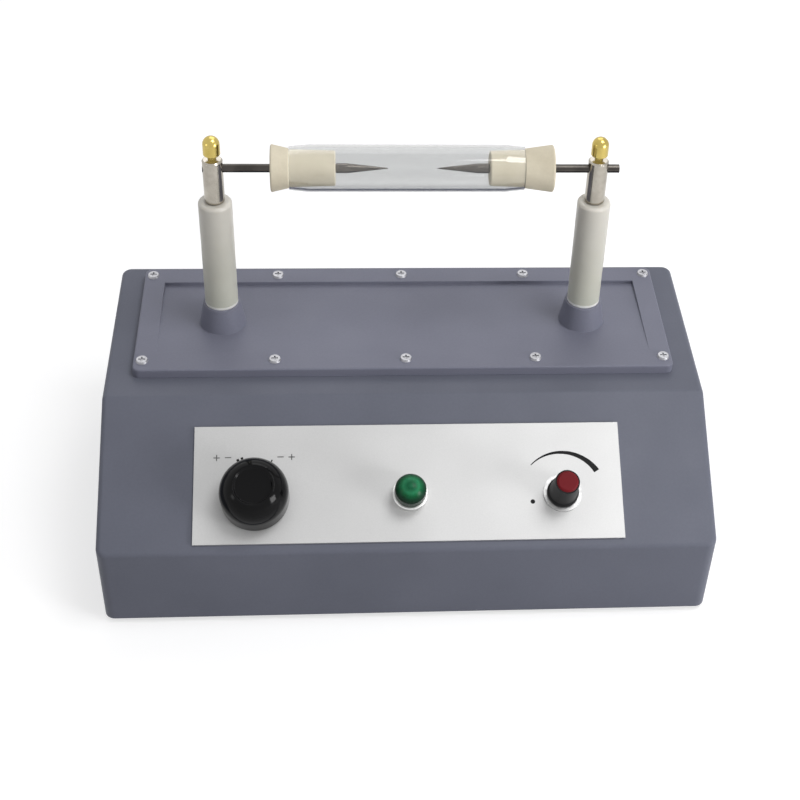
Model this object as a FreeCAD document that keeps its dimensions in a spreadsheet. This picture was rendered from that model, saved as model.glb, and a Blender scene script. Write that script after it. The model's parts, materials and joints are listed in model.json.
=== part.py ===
import FreeCAD, Part
import math
import os
import Sketcher

# School induction coil with an electronic drive: a sloping desk case, a screwed lid that carries
# two insulated terminal posts, and a stoppered glass discharge tube clamped between them.
# X runs to the right of the control panel, Y to the back, Z up. The origin is on the table,
# under the middle of the outer box. All lengths are in millimetres, all angles in degrees.

driving = {
    # Case: the moulded shell in side view, front edge to back wall
    "caseWidth": 289.0,
    "caseDepth": 170.0,
    "frontHeight": 44.0,
    "frontLean": 1.3,
    "slopeLength": 77.4,
    "panelAngle": 29.7,
    "shellWall": 3.0,
    "cornerRound": 5.0,
    "foldRound": 2.5,
    "fitGap": 0.3,
    "runningGap": 0.05,
    # Lid with its ten screws, the shallow wedge recess and the two post collars
    "lidSideMargin": 13.2,
    "lidDepth": 81.4,
    "lidThick": 4.8,
    "lidSetback": 13.2,
    "lidCorner": 3.5,
    "lidEdgeRound": 0.8,
    "lidScrewSide": 4.3,
    "lidScrewRows": 68.2,
    "lidScrewEdge": 7.1,
    "lidScrewColumns": 5,
    "lidScrewLines": 2,
    "lidOpeningSide": 13.3,
    "lidOpeningDepth": 54.0,
    "recessSide": 10.5,
    "recessFront": 13.0,
    "recessLength": 56.6,
    "recessDrop": 2.0,
    "collarBase": 11.3,
    "collarTop": 9.0,
    "collarRise": 12.1,
    # Base, feet and fasteners
    "baseThick": 3.0,
    "footHeight": 3.0,
    "footRadius": 8.0,
    "footTread": 6.8,
    "footRecess": 1.0,
    "footInset": 26.0,
    "screwColumn": 4.0,
    "columnInset": 3.2,
    "columnRise": 14.0,
    "baseScrewLength": 11.0,
    "screwShank": 1.5,
    "screwHead": 3.0,
    "screwHeadTop": 2.6,
    "screwHeadHeight": 1.2,
    "crossWidth": 0.8,
    "crossLength": 3.2,
    "crossDepth": 0.8,
    "lidScrewLength": 11.0,
    "lidColumnDrop": 7.5,
    "footScrewLength": 4.0,
    # Control panel plate
    "plateWidth": 201.0,
    "plateHeight": 57.0,
    "plateMargin": 4.3,
    "plateThick": 1.2,
    "controlSpacing": 72.0,
    "controlLine": 26.4,
    # Polarity switch and its knob
    "shaftRadius": 3.0,
    "switchRadius": 15.0,
    "switchLength": 20.0,
    "switchBush": 4.8,
    "bushReach": 4.5,
    "switchNutRadius": 7.5,
    "switchNutThick": 2.5,
    "knobRadius": 16.0,
    "knobHeight": 20.3,
    "knobRim": 9.0,
    "knobTopRadius": 9.8,
    "knobTopDish": 0.8,
    "knobFlank": 13.0,
    "knobNibWidth": 3.2,
    "knobNibHeight": 8.5,
    "knobNibReach": 1.8,
    "switchTurn": 45.0,
    "knobLift": 0.5,
    "knobHollow": 11.0,
    "knobHollowDepth": 5.0,
    "knobShaftDepth": 15.0,
    "setScrewRadius": 1.5,
    "setScrewLength": 5.0,
    "setScrewHeight": 6.0,
    "setScrewSocket": 0.8,
    "tagLength": 5.0,
    "tagWidth": 2.0,
    "tagThick": 0.8,
    "switchTagRing": 10.5,
    "switchTags": 6,
    # High-voltage adjuster and its knob
    "adjusterRadius": 8.5,
    "adjusterLength": 17.0,
    "adjusterBush": 3.8,
    "adjusterTagRing": 6.0,
    "adjusterTags": 3,
    "adjusterNutRadius": 5.8,
    "adjusterNutThick": 2.0,
    "washerRadius": 9.2,
    "washerThick": 0.8,
    "smallSkirt": 7.5,
    "smallSkirtEdge": 1.3,
    "smallSkirtRise": 2.6,
    "smallBodyLow": 6.7,
    "smallBodyTop": 5.7,
    "smallHeight": 17.6,
    "smallLift": 0.4,
    "smallHollow": 6.3,
    "smallHollowDepth": 3.2,
    "smallShaftDepth": 12.0,
    "capInset": 0.6,
    "capDiscThick": 1.4,
    "capDiscProud": 0.9,
    "capDiscEdge": 0.3,
    # Power lamp
    "lampBodyRadius": 6.0,
    "lampBodyLength": 20.0,
    "lensRadius": 7.3,
    "lensSide": 8.4,
    "lensDome": 4.6,
    "bezelCollar": 7.9,
    "bezelCollarRise": 3.2,
    "bezelRing": 8.4,
    "bezelRise": 5.6,
    "bezelFloor": 2.6,
    "bezelEdge": 0.4,
    # Terminal posts
    "postSpacing": 179.6,
    "postSetback": 38.5,
    "insulatorRadius": 8.0,
    "insulatorLength": 59.2,
    "insulatorRound": 1.6,
    "studRadius": 2.0,
    "studInPost": 8.0,
    "studBelowLid": 11.0,
    "studNutRadius": 4.0,
    "studNutThick": 3.2,
    "postRadius": 4.8,
    "postHeight": 22.8,
    "postChamfer": 0.7,
    "postFoot": 1.0,
    "rodHeight": 17.95,
    "clampNeck": 2.6,
    "clampStemRadius": 1.95,
    "clampStemInCap": 5.6,
    "capRadius": 4.0,
    "capSide": 5.4,
    "capChamfer": 0.4,
    # Electrodes, stoppers and glass tube
    "rodRadius": 2.0,
    "rodLength": 61.6,
    "tipRadius": 2.3,
    "tipShank": 5.2,
    "tipCone": 18.8,
    "tipPoint": 0.2,
    "tipSpigot": 1.0,
    "tipSpigotLength": 3.8,
    "tipSeat": 0.35,
    "tubeLength": 109.5,
    "tubeRadius": 11.0,
    "tubeWall": 1.3,
    "mouthRadius": 10.1,
    "mouthTaper": 9.0,
    "stopperLength": 30.0,
    "stopperOutRadius": 11.0,
    "stopperWaist": 9.2,
    "stopperInRadius": 8.15,
    "stopperRound": 0.8,
    "stopperGrip": 0.5,
    "leftStopperOut": 8.5,
    "rightStopperOut": 13.8,
    # Transformer inside the case
    "coilHeight": 34.0,
    "coreRadius": 8.0,
    "coreLength": 152.0,
    "primaryRadius": 11.0,
    "primaryLength": 120.0,
    "formerWall": 2.0,
    "formerFlange": 29.0,
    "formerFlangeThick": 2.0,
    "sectionRadius": 26.5,
    "sectionCount": 6,
    "coilLength": 122.0,
    "cheekThick": 7.0,
    "cheekWidth": 62.0,
    "cheekTop": 31.0,
    "cheekScrewSpan": 44.0,
    "leadRadius": 1.4,
    "leadRise": 9.0,
    "leadBend": 4.5,
    # Drive board
    "boardWidth": 120.0,
    "boardDepth": 52.0,
    "boardThick": 1.6,
    "boardFront": 18.0,
    "pillarRadius": 3.5,
    "pillarRise": 8.0,
    "pillarInset": 5.0,
    "capacitorRadius": 8.0,
    "capacitorHeight": 25.0,
    "capacitorSpacing": 40.0,
    "sinkWidth": 60.0,
    "sinkDepth": 12.0,
    "sinkHeight": 24.0,
    "sinkWeb": 3.0,
    "finCount": 7,
    "finThick": 1.6,
    "transistorWidth": 10.0,
    "transistorHeight": 15.0,
    "transistorThick": 4.4,
    "transistorSpacing": 30.0,
    # Mains inlet and fuse on the back wall
    "mainsInset": 32.5,
    "inletHeight": 26.0,
    "inletWidth": 27.0,
    "inletTall": 19.6,
    "inletDepth": 22.0,
    "flangeWidth": 50.0,
    "flangeTall": 23.0,
    "flangeThick": 2.5,
    "socketWidth": 24.2,
    "socketTall": 16.8,
    "socketDepth": 15.5,
    "bladeWidth": 2.0,
    "bladeTall": 4.0,
    "bladeLength": 14.0,
    "bladeSpacing": 14.0,
    "bladeDrop": 2.0,
    "inletScrewSpan": 40.0,
    "inletScrewLength": 8.0,
    "fuseHeight": 58.0,
    "holderRadius": 6.4,
    "holderLength": 34.0,
    "holderFloor": 2.0,
    "holderFlange": 9.0,
    "holderFlangeThick": 2.5,
    "holderNutRadius": 9.0,
    "holderNutThick": 4.0,
    "fuseCapRadius": 7.5,
    "fuseCapTop": 7.0,
    "fuseSlotLength": 9.0,
    "fuseSlotWidth": 1.2,
    "fuseCapLength": 8.5,
    "fuseNeckRadius": 4.7,
    "fuseNeckLength": 8.0,
    "fuseRadius": 2.6,
    "fuseLength": 20.0,
    "fuseInCap": 6.0,
}

doc = FreeCAD.newDocument("InductionCoil")
sheet = doc.addObject("Spreadsheet::Sheet", "Sizes")
for row, (alias, value) in enumerate(driving.items(), start=1):
    cell = f"B{row}"
    sheet.set(f"A{row}", alias)
    sheet.set(cell, str(value))
    sheet.setAlias(cell, alias)
doc.recompute()


# A size keeps its number beside the sheet expression that gives it, so that ordinary
# arithmetic on sizes also writes the expression which the features are bound to.
class Size:
    def __init__(self, number, text):
        self.number = number
        self.text = text

    def __add__(self, other):
        other = as_size(other)
        return Size(self.number + other.number, f"({self.text} + {other.text})")

    def __sub__(self, other):
        other = as_size(other)
        return Size(self.number - other.number, f"({self.text} - {other.text})")

    def __mul__(self, other):
        other = as_size(other)
        return Size(self.number * other.number, f"({self.text} * {other.text})")

    def __truediv__(self, other):
        other = as_size(other)
        return Size(self.number / other.number, f"({self.text} / {other.text})")

    def __neg__(self):
        return Size(-self.number, f"(0 - {self.text})")

    __radd__ = __add__

    def __rsub__(self, other):
        return as_size(other) - self

    __rmul__ = __mul__


def as_size(value):
    if isinstance(value, Size):
        return value
    return Size(float(value), f"({value})")


def given(alias):
    return Size(float(sheet.get(alias)), f"Sizes.{alias}")


def sine(angle):
    return Size(math.sin(math.radians(angle.number)), f"sin({angle.text})")


def cosine(angle):
    return Size(math.cos(math.radians(angle.number)), f"cos({angle.text})")


size = {alias: given(alias) for alias in driving}
nodes = []
UP = FreeCAD.Vector(0, 0, 1)
ALONG_X = FreeCAD.Vector(1, 0, 0)
ALONG_Y = FreeCAD.Vector(0, 1, 0)
QUARTER = 90.0


def bind(thing, field, value):
    thing.setExpression(field, as_size(value).text)


# Puts a piece at a point, turned about one axis through its own origin
def place(thing, x=0, y=0, z=0, axis=None, angle=0):
    if axis is not None:
        start = FreeCAD.Rotation(axis, as_size(angle).number)
        thing.Placement = FreeCAD.Placement(FreeCAD.Vector(), start)
        bind(thing, "Placement.Rotation.Angle", angle)
    bind(thing, "Placement.Base.x", x)
    bind(thing, "Placement.Base.y", y)
    bind(thing, "Placement.Base.z", z)
    return thing


# Marks a finished sub-part and gives it the name of its file
def node(label, thing):
    thing.Label = label
    nodes.append(thing)
    return thing


def cylinder(name, radius, height, x=0, y=0, z=0, axis=None, angle=0):
    thing = doc.addObject("Part::Cylinder", name)
    bind(thing, "Radius", radius)
    bind(thing, "Height", height)
    return place(thing, x, y, z, axis, angle)


def cone(name, low, high, height, x=0, y=0, z=0, axis=None, angle=0):
    thing = doc.addObject("Part::Cone", name)
    bind(thing, "Radius1", low)
    bind(thing, "Radius2", high)
    bind(thing, "Height", height)
    return place(thing, x, y, z, axis, angle)


# A box centred on x and y, standing on z
def block(name, width, depth, height, x=0, y=0, z=0):
    thing = doc.addObject("Part::Box", name)
    bind(thing, "Length", width)
    bind(thing, "Width", depth)
    bind(thing, "Height", height)
    return place(thing, x - width / 2, y - depth / 2, z)


def prism(name, radius, height, x=0, y=0, z=0, sides=6):
    thing = doc.addObject("Part::Prism", name)
    thing.Polygon = sides
    bind(thing, "Circumradius", radius)
    bind(thing, "Height", height)
    return place(thing, x, y, z)


def fuse(name, things):
    thing = doc.addObject("Part::MultiFuse", name)
    thing.Shapes = things
    thing.Refine = True
    return thing


def cut(name, base, tools):
    tool = tools[0] if len(tools) == 1 else fuse(name + "Tools", tools)
    thing = doc.addObject("Part::Cut", name)
    thing.Base = base
    thing.Tool = tool
    return thing


def group(name, things):
    thing = doc.addObject("Part::Compound", name)
    thing.Links = things
    return thing


def new_body(name):
    return doc.addObject("PartDesign::Body", name)


# A closed outline through points, each a pair of sizes, on one of the body's own planes.
# An arc replaces the straight side that starts at a point: its radius is given, and it
# bulges away from the middle of the outline.
def outline(body, name, role, points, arcs=None):
    sketch = body.newObject("Sketcher::SketchObject", name)
    plane = [part for part in body.Origin.OriginFeatures if part.Role == role][0]
    sketch.AttachmentSupport = (plane, [""])
    sketch.MapMode = "FlatFace"
    arcs = arcs or {}
    points = [(as_size(first), as_size(second)) for first, second in points]
    corners = [FreeCAD.Vector(first.number, second.number, 0) for first, second in points]
    count = len(corners)
    middle = sum(corners, FreeCAD.Vector()) * (1.0 / count)
    swapped = set()
    for index in range(count):
        start = corners[index]
        end = corners[(index + 1) % count]
        if index in arcs:
            halfway = (start + end) * 0.5
            half = (end - start).Length / 2
            outward = FreeCAD.Vector(-(end - start).y, (end - start).x, 0).normalize()
            if outward.dot(halfway - middle) < 0:
                outward = outward * -1
            radius = as_size(arcs[index]).number
            sagitta = radius - math.sqrt(radius ** 2 - half ** 2)
            arc = Part.Arc(start, halfway + outward * sagitta, end)
            sketch.addGeometry(arc, False)
            first_end = sketch.Geometry[index].StartPoint
            if first_end.distanceToPoint(start) > first_end.distanceToPoint(end):
                swapped.add(index)
        else:
            sketch.addGeometry(Part.LineSegment(start, end), False)
    for index in range(count):
        following = (index + 1) % count
        leaving = 1 if index in swapped else 2
        arriving = 2 if following in swapped else 1
        sketch.addConstraint(Sketcher.Constraint("Coincident", index, leaving, following, arriving))
    for index, (first, second) in enumerate(points):
        here = 2 if index in swapped else 1
        number = sketch.addConstraint(Sketcher.Constraint("DistanceX", index, here, first.number))
        sketch.setExpression(f"Constraints[{number}]", first.text)
        number = sketch.addConstraint(Sketcher.Constraint("DistanceY", index, here, second.number))
        sketch.setExpression(f"Constraints[{number}]", second.text)
    for index, radius in arcs.items():
        radius = as_size(radius)
        number = sketch.addConstraint(Sketcher.Constraint("Radius", index, radius.number))
        sketch.setExpression(f"Constraints[{number}]", radius.text)
    return sketch


# A turned piece: its half section, as pairs of radius and height, spun about its own axis
def turned(name, points, arcs=None):
    body = new_body(name)
    sketch = outline(body, name + "Outline", "XZ_Plane", points, arcs)
    feature = body.newObject("PartDesign::Revolution", name + "Turn")
    feature.Profile = sketch
    feature.ReferenceAxis = (sketch, ["V_Axis"])
    feature.Angle = 360
    sketch.Visibility = False
    return body


def padded(body, name, sketch, length, midplane=True):
    feature = body.newObject("PartDesign::Pad", name)
    feature.Profile = sketch
    if midplane:
        feature.SideType = "Symmetric"
    bind(feature, "Length", length)
    return feature


# Rounds those edges of a feature for which the test says yes
def rounded(body, name, feature, radius, wanted):
    doc.recompute()
    edges = [f"Edge{number}" for number, edge in enumerate(feature.Shape.Edges, start=1)
             if wanted(edge)]
    fillet = body.newObject("PartDesign::Fillet", name)
    fillet.Base = (feature, edges)
    bind(fillet, "Radius", radius)
    return fillet


def lies_along(edge, direction):
    span = edge.Vertexes[-1].Point - edge.Vertexes[0].Point
    return len(edge.Vertexes) == 2 and span.Length > 0 and abs(span.normalize().dot(direction)) > 0.9999


# Heights and places that several pieces share
fuse_reach = size["holderFlangeThick"] + size["fuseCapLength"]
front_y = -(size["caseDepth"] + fuse_reach) / 2
back_y = front_y + size["caseDepth"]
case_low = size["footHeight"]
fold_z = case_low + size["frontHeight"]
slope_run = size["slopeLength"] * cosine(size["panelAngle"])
slope_rise = size["slopeLength"] * sine(size["panelAngle"])
top_z = fold_z + slope_rise
top_y = front_y + slope_run
lid_front = top_y + size["lidSetback"]
lid_width = size["caseWidth"] - size["lidSideMargin"] * 2
lid_screw_span = lid_width - size["lidScrewSide"] * 2
mains_x = size["caseWidth"] / 2 - size["mainsInset"]
lid_y = lid_front + size["lidDepth"] / 2
lid_top = top_z + size["lidThick"]
post_y = lid_front + size["postSetback"]
collar_top = lid_top + size["collarRise"]
insulator_top = collar_top + size["insulatorLength"]
rod_z = insulator_top + size["rodHeight"]
post_top = insulator_top + size["postHeight"]
base_top = case_low + size["baseThick"]
coil_z = base_top + size["coilHeight"]
board_top = base_top + size["pillarRise"] + size["boardThick"]
screw_hole = size["screwShank"] + size["runningGap"]
sides = {"left": -1, "right": 1}


# A point on the control panel's slope: up the slope, and out from its surface
def slope_place(thing, x, up, out):
    y = front_y + up * cosine(size["panelAngle"]) - out * sine(size["panelAngle"])
    z = fold_z + up * sine(size["panelAngle"]) + out * cosine(size["panelAngle"])
    return place(thing, x, y, z, ALONG_X, size["panelAngle"])


# A hole through the slope's wall and plate
def slope_hole(name, radius, x):
    reach = size["shellWall"] * 4
    tool = cylinder(name, radius, reach * 2)
    return slope_place(tool, x, size["controlLine"], -reach)


# A cross-headed screw, head up, its shank pointing down from the origin
def cross_screw(name, length, countersunk=False):
    shank = cylinder(name + "Shank", size["screwShank"], length, z=-length)
    if countersunk:
        head = cone(name + "Head", size["screwShank"], size["screwHead"],
                    size["screwHeadHeight"], z=-size["screwHeadHeight"])
        top = as_size(0)
    else:
        head = cone(name + "Head", size["screwHead"], size["screwHeadTop"], size["screwHeadHeight"])
        top = size["screwHeadHeight"]
    solid = fuse(name + "Solid", [shank, head])
    slots = [
        block(name + "SlotA", size["crossLength"], size["crossWidth"], size["crossDepth"] * 2,
              z=top - size["crossDepth"]),
        block(name + "SlotB", size["crossWidth"], size["crossLength"], size["crossDepth"] * 2,
              z=top - size["crossDepth"]),
    ]
    return cut(name, solid, slots)


# Screw places, each a pair of x and y
lid_screw_places = []
for column in range(driving["lidScrewColumns"]):
    for line in range(driving["lidScrewLines"]):
        screw_x = lid_screw_span * column / (size["lidScrewColumns"] - 1) - lid_screw_span / 2
        screw_y = lid_front + size["lidScrewEdge"] + size["lidScrewRows"] * line
        lid_screw_places.append((screw_x, screw_y))

column_x = size["caseWidth"] / 2 - size["shellWall"] - size["columnInset"]
column_front = front_y + size["frontLean"] + size["shellWall"] + size["columnInset"]
column_back = back_y - size["shellWall"] - size["columnInset"]
base_screw_places = []
for share in (-1, 0, 1):
    base_screw_places.append((column_x * share, column_front))
    base_screw_places.append((column_x * share, column_back))

foot_places = []
for side in (-1, 1):
    foot_x = (size["caseWidth"] / 2 - size["footInset"]) * side
    foot_places.append((foot_x, front_y + size["footInset"]))
    foot_places.append((foot_x, back_y - size["footInset"]))

inlet_z = case_low + size["inletHeight"]
fuse_z = case_low + size["fuseHeight"]
inlet_screw_places = [mains_x + size["inletScrewSpan"] / 2 * end for end in (-1, 1)]

board_places = []
cheek_screw_places = []
for side_sign in (-1, 1):
    for end_sign in (-1, 1):
        board_places.append((
            (size["boardWidth"] / 2 - size["pillarInset"]) * side_sign,
            front_y + size["boardFront"] + size["boardDepth"] / 2
            + (size["boardDepth"] / 2 - size["pillarInset"]) * end_sign,
        ))
        cheek_screw_places.append((
            (size["coilLength"] / 2 + size["runningGap"] + size["cheekThick"] / 2) * side_sign,
            post_y + size["cheekScrewSpan"] / 2 * end_sign,
        ))


def make_housing():
    shell = new_body("HousingShell")
    low_front = front_y + size["frontLean"]
    profile = [
        (low_front, case_low),
        (back_y, case_low),
        (back_y, top_z),
        (top_y, top_z),
        (front_y, fold_z),
    ]
    sketch = outline(shell, "HousingOutline", "YZ_Plane", profile)
    pad = padded(shell, "HousingPad", sketch, size["caseWidth"])

    # An upright edge climbs further than it runs back; the slope's rims run back further
    def climbs(edge):
        start = edge.Vertexes[0].Point
        end = edge.Vertexes[-1].Point
        return abs(end.z - start.z) > abs(end.y - start.y) + size["cornerRound"].number

    corners = rounded(shell, "HousingCorners", pad, size["cornerRound"], climbs)

    def above_front(edge):
        lowest = min(vertex.Point.z for vertex in edge.Vertexes)
        return lowest > case_low.number + size["cornerRound"].number and not climbs(edge)

    rounded(shell, "HousingFolds", corners, size["foldRound"], above_front)
    wall = size["shellWall"]
    # The inner face of the slope lies one wall in, square to the slope
    inner_fold = fold_z - wall * (1 - cosine(size["panelAngle"])) / sine(size["panelAngle"])
    inner_top = top_y + wall * (1 - cosine(size["panelAngle"])) / sine(size["panelAngle"])
    hollow = [
        (low_front + wall, case_low - wall),
        (back_y - wall, case_low - wall),
        (back_y - wall, top_z - wall),
        (inner_top, top_z - wall),
        (front_y + wall, inner_fold),
        (low_front + wall, case_low),
    ]
    inside = outline(shell, "HousingHollow", "YZ_Plane", hollow)
    pocket = shell.newObject("PartDesign::Pocket", "HousingPocket")
    pocket.Profile = inside
    pocket.SideType = "Symmetric"
    bind(pocket, "Length", size["caseWidth"] - wall * 2)

    added = [shell]
    for number, (x, y) in enumerate(lid_screw_places):
        rise = size["lidColumnDrop"] + wall / 2
        added.append(cylinder(f"LidColumn{number}", size["screwColumn"], rise, x, y, top_z - wall / 2 - rise))
    for number, (x, y) in enumerate(base_screw_places):
        added.append(cylinder(f"BaseColumn{number}", size["screwColumn"], size["columnRise"], x, y, base_top))
    solid = fuse("HousingSolid", added)

    removed = [
        block("LidOpening", lid_width - size["lidOpeningSide"] * 2, size["lidOpeningDepth"], wall * 3,
              y=lid_y, z=top_z - wall * 2),
        slope_hole("SwitchHole", size["switchBush"] + size["fitGap"], -size["controlSpacing"]),
        slope_hole("LampHole", size["lampBodyRadius"] + size["fitGap"], 0),
        slope_hole("AdjusterHole", size["adjusterBush"] + size["fitGap"], size["controlSpacing"]),
        block("InletHole", size["inletWidth"] + size["fitGap"] * 2, wall * 4,
              size["inletTall"] + size["fitGap"] * 2, mains_x, back_y,
              inlet_z - size["inletTall"] / 2 - size["fitGap"]),
        cylinder("HolderHole", size["holderRadius"] + size["fitGap"], wall * 4, mains_x,
                 back_y - wall * 2, fuse_z, ALONG_X, -QUARTER),
    ]
    for number, (x, y) in enumerate(lid_screw_places):
        depth = size["lidScrewLength"] - size["lidThick"] + size["fitGap"]
        removed.append(cylinder(f"LidPilot{number}", screw_hole, depth * 2, x, y, top_z - depth))
    for number, (x, y) in enumerate(base_screw_places):
        depth = size["baseScrewLength"] - size["baseThick"] + size["fitGap"]
        removed.append(cylinder(f"BasePilot{number}", screw_hole, depth, x, y, base_top))
    for number, x in enumerate(inlet_screw_places):
        removed.append(cylinder(f"InletPilot{number}", screw_hole, wall * 2, x, back_y - wall * 1.5,
                                inlet_z, ALONG_X, -QUARTER))
    node("housing", cut("Housing", solid, removed))


def make_lid():
    slab = new_body("LidSlab")
    half = lid_width / 2
    sketch = outline(slab, "LidOutline", "XY_Plane", [
        (-half, lid_front),
        (half, lid_front),
        (half, lid_front + size["lidDepth"]),
        (-half, lid_front + size["lidDepth"]),
    ])
    sketch.AttachmentOffset = FreeCAD.Placement(FreeCAD.Vector(0, 0, top_z.number), FreeCAD.Rotation())
    bind(sketch, "AttachmentOffset.Base.z", top_z)
    pad = padded(slab, "LidPad", sketch, size["lidThick"], midplane=False)
    corners = rounded(slab, "LidCorners", pad, size["lidCorner"], lambda edge: lies_along(edge, UP))

    def on_top(edge):
        return all(abs(vertex.Point.z - lid_top.number) < 0.01 for vertex in edge.Vertexes)

    rounded(slab, "LidEdge", corners, size["lidEdgeRound"], on_top)
    # The wedge recess is deepest at the back and runs out towards the front
    recess = outline(slab, "RecessOutline", "YZ_Plane", [
        (lid_front + size["recessFront"], lid_top),
        (lid_front + size["recessFront"] + size["recessLength"], lid_top - size["recessDrop"]),
        (lid_front + size["recessFront"] + size["recessLength"], lid_top + size["lidThick"]),
        (lid_front + size["recessFront"], lid_top + size["lidThick"]),
    ])
    pocket = slab.newObject("PartDesign::Pocket", "RecessPocket")
    pocket.Profile = recess
    pocket.SideType = "Symmetric"
    bind(pocket, "Length", lid_width - size["recessSide"] * 2)
    added = [slab]
    removed = []
    for side, sign in sides.items():
        x = size["postSpacing"] / 2 * sign
        rise = collar_top - top_z
        slant = (size["collarBase"] - size["collarTop"]) / size["collarRise"]
        added.append(cone(side + "Collar", size["collarTop"] + slant * rise, size["collarTop"],
                          rise, x, post_y, top_z))
        removed.append(cylinder(side + "CollarBore", size["studRadius"] + size["fitGap"], rise * 2, x, post_y,
                                top_z - rise / 2))
    for number, (x, y) in enumerate(lid_screw_places):
        removed.append(cylinder(f"LidHole{number}", screw_hole + size["fitGap"], size["lidThick"] * 2, x, y,
                                top_z - size["lidThick"] / 2))
    node("top_lid", cut("Lid", fuse("LidSolid", added), removed))


def make_lid_screws():
    screws = []
    for number, (x, y) in enumerate(lid_screw_places):
        screw = cross_screw(f"LidScrew{number}", size["lidScrewLength"])
        screws.append(place(screw, x, y, lid_top))
    node("lid_screws", group("LidScrews", screws))


def make_base():
    low_front = front_y + size["frontLean"]
    gap = size["shellWall"] + size["fitGap"]
    depth = back_y - low_front - gap * 2
    middle = (back_y + low_front) / 2
    plate = block("BaseSlab", size["caseWidth"] - gap * 2, depth, size["baseThick"], 0, middle, case_low)
    added = [plate]
    removed = []
    for number, (x, y) in enumerate(board_places):
        added.append(cylinder(f"Pillar{number}", size["pillarRadius"], size["pillarRise"], x, y, base_top))
        removed.append(cylinder(f"PillarPilot{number}", screw_hole, size["pillarRise"], x, y,
                                base_top + size["baseThick"] / 2))
    for number, (x, y) in enumerate(base_screw_places):
        removed.append(cylinder(f"BaseHole{number}", screw_hole + size["fitGap"], size["baseThick"] * 2, x, y,
                                case_low - size["baseThick"] / 2))
        removed.append(cone(f"BaseSink{number}", size["screwHead"] + size["fitGap"],
                            size["screwShank"] + size["fitGap"], size["screwHeadHeight"], x, y, case_low))
    for number, (x, y) in enumerate(foot_places):
        removed.append(cylinder(f"FootPilot{number}", screw_hole, size["baseThick"], x, y, case_low))
    for number, (x, y) in enumerate(cheek_screw_places):
        removed.append(cylinder(f"CheekHole{number}", screw_hole + size["fitGap"], size["baseThick"] * 2,
                                x, y, case_low - size["baseThick"] / 2))
        removed.append(cone(f"CheekSink{number}", size["screwHead"] + size["fitGap"],
                            size["screwShank"] + size["fitGap"], size["screwHeadHeight"], x, y, case_low))
    node("base_plate", cut("Base", fuse("BaseSolid", added), removed))

    screws = []
    for number, (x, y) in enumerate(base_screw_places):
        screw = cross_screw(f"BaseScrew{number}", size["baseScrewLength"], countersunk=True)
        screws.append(place(screw, x, y, case_low, ALONG_X, 2 * QUARTER))
    node("base_screws", group("BaseScrews", screws))


def make_feet():
    feet = []
    screws = []
    for number, (x, y) in enumerate(foot_places):
        pad = cone(f"FootPad{number}", size["footTread"], size["footRadius"], size["footHeight"])
        sunk = cylinder(f"FootSink{number}", size["screwHead"] + size["fitGap"],
                        size["footHeight"] - size["footRecess"])
        bore = cylinder(f"FootBore{number}", screw_hole, size["footHeight"])
        feet.append(place(cut(f"Foot{number}", pad, [sunk, bore]), x, y))
        screw = cross_screw(f"FootScrew{number}", size["footScrewLength"] - size["footRecess"])
        screws.append(place(screw, x, y, size["footHeight"] - size["footRecess"], ALONG_X, 2 * QUARTER))
    node("rubber_feet", group("Feet", feet))
    node("foot_screws", group("FootScrews", screws))


def make_plate():
    up = size["plateMargin"]
    plate = doc.addObject("Part::Box", "PlateBlank")
    bind(plate, "Length", size["plateWidth"])
    bind(plate, "Width", size["plateHeight"])
    bind(plate, "Height", size["plateThick"])
    slope_place(plate, -size["plateWidth"] / 2, up, 0)
    holes = [
        slope_hole("PlateSwitchHole", size["switchBush"] + size["fitGap"], -size["controlSpacing"]),
        slope_hole("PlateLampHole", size["lampBodyRadius"] + size["fitGap"], 0),
        slope_hole("PlateAdjusterHole", size["adjusterBush"] + size["fitGap"], size["controlSpacing"]),
    ]
    node("front_panel", cut("Plate", plate, holes))


# The fixed half of a panel control: body behind the wall, threaded bush through it
def control_body(name, radius, length, bush, reach, shaft_depth):
    wall = size["shellWall"]
    bore = size["shaftRadius"] + size["runningGap"]
    top = size["plateThick"] + reach
    return turned(name, [
        (0, -wall - length),
        (radius, -wall - length),
        (radius, -wall),
        (bush, -wall),
        (bush, top),
        (bore, top),
        (bore, -shaft_depth),
        (0, -shaft_depth),
    ])


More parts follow.
